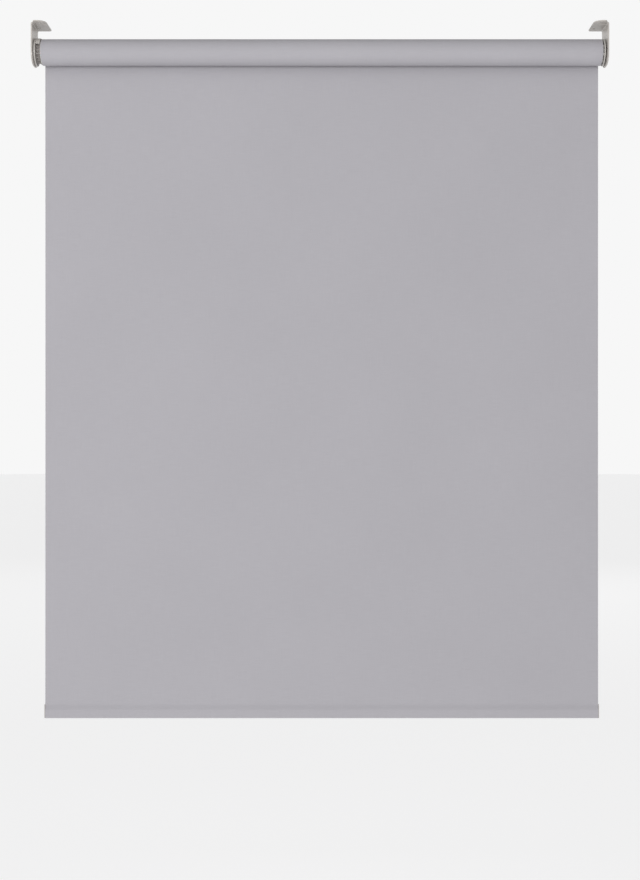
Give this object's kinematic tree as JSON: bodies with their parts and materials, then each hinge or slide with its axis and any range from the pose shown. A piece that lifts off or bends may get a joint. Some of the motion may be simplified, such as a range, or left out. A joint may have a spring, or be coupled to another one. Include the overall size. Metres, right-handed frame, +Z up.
{
  "type": "roller blind",
  "caption": "Roller blind: cloth wound on a tube between top-fix brackets, with a side control wheel and wrap-spring clutch, a sprung idle pin and a weighted hem pocket.",
  "frame": {"origin": "on the head line, the plane of the two brackets' top faces, midway between the brackets and straight above the roll's axis", "axes": "+X along the roll from the control end to the idle end, +Y from the room towards the window, +Z up"},
  "size_m": [0.9, 0.0581, 1.093],
  "materials": {
    "cloth": "plain matt woven polyester, pale warm grey",
    "bracket_metal": "satin light grey powder coat on pressed steel",
    "control_plastic": "light grey moulded plastic",
    "sprocket_plastic": "mid grey moulded plastic",
    "steel": "bright zinc or spring steel",
    "aluminium": "mill finish extrusion",
    "nylon": "natural nylon"
  },
  "bodies": {
    "root": {"bracket_left": "bracket_metal", "bracket_right": "bracket_metal", "control_housing": "control_plastic", "chain_guard": "control_plastic", "control_core": "nylon", "core_washer": "steel", "core_screw": "steel", "pin_socket": "nylon"},
    "roller": {"roller_tube": "aluminium", "cloth_spline": "nylon", "cloth_roll": "cloth", "drive_crown": "nylon", "wrap_spring_1": "steel", "wrap_spring_2": "steel", "wrap_spring_3": "steel", "idle_plug": "control_plastic", "idle_sleeve": "nylon", "idle_cap": "nylon", "idle_spring": "steel"},
    "sprocket": {"sprocket": "sprocket_plastic"},
    "idle_pin": {"idle_pin": "steel", "pin_collar": "steel"},
    "hem": {"cloth_sheet": "cloth", "hem_pocket": "cloth", "hem_bar": "aluminium", "hem_cap_left": "control_plastic", "hem_cap_right": "control_plastic"}
  },
  "joints": [
    {"name": "roller_spin", "type": "hinge", "parent": "root", "child": "roller", "pos_m": [0, 0, -0.041], "axis": [1, 0, 0], "range_deg": [0, 2800]},
    {"name": "sprocket_spin", "type": "hinge", "parent": "root", "child": "sprocket", "pos_m": [-0.44, 0, -0.041], "axis": [1, 0, 0], "range_deg": [0, 2800]},
    {"name": "hem_lift", "type": "slide", "parent": "root", "child": "hem", "axis": [0, 0, 1], "range_m": [0, 1], "deforming": ["cloth_sheet"]},
    {"name": "idle_pin_press", "type": "slide", "parent": "root", "child": "idle_pin", "axis": [-1, 0, 0], "range_m": [0, 0.008], "stiffness_N_per_m": 700, "springref_m": -0.008, "deforming": ["idle_spring"]}
  ],
  "couplings": [
    {"joint": "hem_lift", "follows": "roller_spin", "m_per_rad": 0.02045},
    {"joint": "sprocket_spin", "follows": "roller_spin", "ratio": 1}
  ]
}
